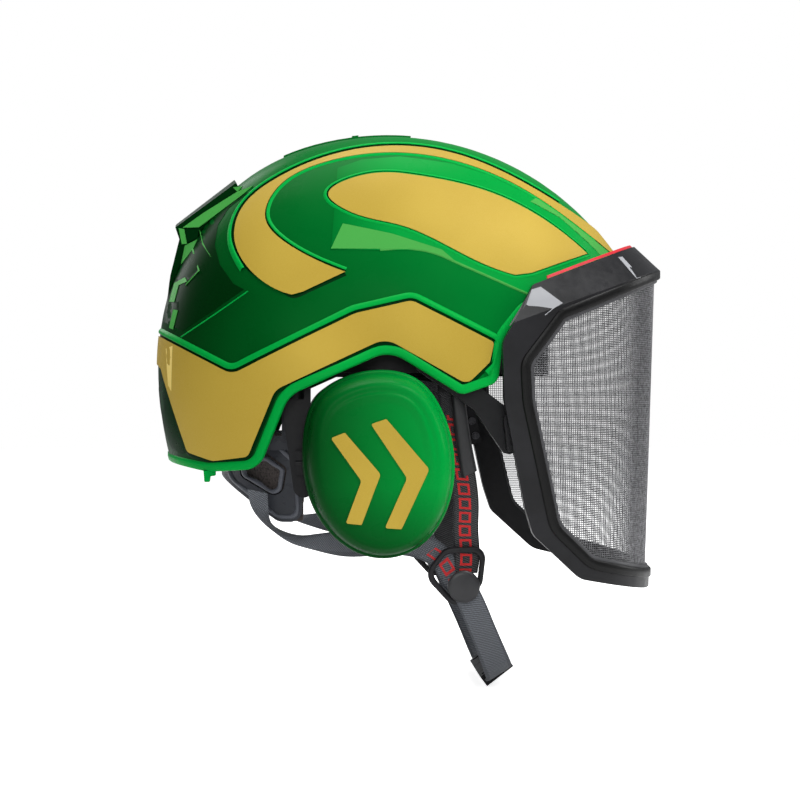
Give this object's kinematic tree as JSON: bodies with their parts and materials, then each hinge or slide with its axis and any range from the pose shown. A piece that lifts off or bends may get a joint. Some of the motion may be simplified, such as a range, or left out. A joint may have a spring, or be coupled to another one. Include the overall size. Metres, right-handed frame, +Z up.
{
  "type": "forestry helmet",
  "caption": "Forestry safety helmet with a hinged mesh visor, swing-out ear cups, nape size adjuster and chin strap.",
  "frame": {"origin": "middle of the wearer's head at brow height, where the helmet is held", "axes": "+X is the wearer's front, +Y the wearer's left, +Z up"},
  "size_m": [0.3068, 0.238, 0.3372],
  "materials": {
    "shell_green": "gloss",
    "panel_gold": "satin metallic paint",
    "visor_black": "satin",
    "frame_black": "satin",
    "nape_grey": "satin",
    "mesh_wire": "woven wire",
    "seal_red": "satin",
    "screw_steel": "brushed",
    "magnet_steel": "nickel plated",
    "liner_foam": "foam",
    "pad_textile": "spacer knit",
    "cushion_skin": "soft skin",
    "webbing_black": "woven with red marks",
    "webbing_grey": "woven"
  },
  "bodies": {
    "helmet": {"outer_shell": "shell_green", "rear_vent_hood": "shell_green", "neck_guard_hooks": "shell_green", "inner_liner": "liner_foam", "crown_pads": "pad_textile", "headband": "frame_black", "brow_pad": "pad_textile", "headband_clips": "frame_black", "visor_bosses": "frame_black", "visor_pivot_pins": "screw_steel", "ear_brackets": "frame_black", "ear_hinge_pins": "screw_steel", "rack_bands": "nape_grey", "strap_anchors": "frame_black", "buckle_socket": "frame_black", "socket_magnet": "magnet_steel", "decor_wing_right": "panel_gold", "decor_wing_left": "panel_gold", "decor_crescent_right": "panel_gold", "decor_crescent_left": "panel_gold", "decor_crown_right": "panel_gold", "decor_crown_left": "panel_gold", "front_strap_right": "webbing_black", "front_strap_left": "webbing_black", "strap_sleeve_right": "frame_black", "strap_sleeve_left": "frame_black", "rear_strap_right": "webbing_grey", "rear_strap_left": "webbing_grey", "strap_divider_right": "frame_black", "strap_divider_left": "frame_black", "divider_button_right": "frame_black", "divider_button_left": "frame_black", "chin_strap_right": "webbing_grey", "chin_strap_left": "webbing_grey"},
    "vent": {"vent_slider": "shell_green"},
    "visor": {"visor_frame": "visor_black", "visor_mesh": "mesh_wire", "visor_top_seal": "seal_red", "visor_screws": "screw_steel", "visor_arm_right": "visor_black", "visor_arm_left": "visor_black"},
    "nape": {"nape_cradle": "nape_grey", "nape_pad": "pad_textile", "nape_housing": "nape_grey"},
    "knob": {"size_knob": "nape_grey", "size_pinion": "nape_grey"},
    "tongue": {"buckle_tongue": "frame_black", "tongue_magnet": "magnet_steel"},
    "ear_hanger_right": {"ear_arm_right": "frame_black"},
    "ear_cup_right": {"cup_shell_right": "shell_green", "cup_chevrons_right": "panel_gold", "cup_backplate_right": "frame_black", "ear_cushion_right": "cushion_skin", "cup_foam_right": "liner_foam"},
    "ear_hanger_left": {"ear_arm_left": "frame_black"},
    "ear_cup_left": {"cup_shell_left": "shell_green", "cup_chevrons_left": "panel_gold", "cup_backplate_left": "frame_black", "ear_cushion_left": "cushion_skin", "cup_foam_left": "liner_foam"}
  },
  "joints": [
    {"name": "visor_lift", "type": "hinge", "parent": "helmet", "child": "visor", "pos_m": [0.014, 0, -0.016], "axis": [0, -1, 0], "range_deg": [0, 47]},
    {"name": "vent_slide", "type": "hinge", "parent": "helmet", "child": "vent", "pos_m": [0, 0, -0.045], "axis": [0, 1, 0], "range_deg": [0, 5]},
    {"name": "ear_swing_right", "type": "hinge", "parent": "helmet", "child": "ear_hanger_right", "pos_m": [-0.058, -0.085, -0.03], "axis": [0, 0, -1], "range_deg": [0, 28]},
    {"name": "ear_tilt_right", "type": "hinge", "parent": "ear_hanger_right", "child": "ear_cup_right", "pos_m": [-0.046, -0.091, -0.0725], "axis": [1, 0, 0], "range_deg": [0, 4]},
    {"name": "ear_swing_left", "type": "hinge", "parent": "helmet", "child": "ear_hanger_left", "pos_m": [-0.058, 0.085, -0.03], "axis": [0, 0, 1], "range_deg": [0, 28]},
    {"name": "ear_tilt_left", "type": "hinge", "parent": "ear_hanger_left", "child": "ear_cup_left", "pos_m": [-0.046, 0.091, -0.0725], "axis": [-1, 0, 0], "range_deg": [0, 4]},
    {"name": "nape_fit", "type": "slide", "parent": "helmet", "child": "nape", "axis": [1, 0, 0], "range_m": [0, 0.012]},
    {"name": "knob_turn", "type": "hinge", "parent": "nape", "child": "knob", "pos_m": [-0.12, 0, -0.062], "axis": [1, 0, 0], "range_deg": [0, 115]},
    {"name": "buckle_release", "type": "slide", "parent": "helmet", "child": "tongue", "axis": [0, 1, 0], "range_m": [0, 0.01]}
  ],
  "couplings": [
    {"joint": "knob_turn", "follows": "nape_fit", "rad_per_m": 166.67}
  ]
}
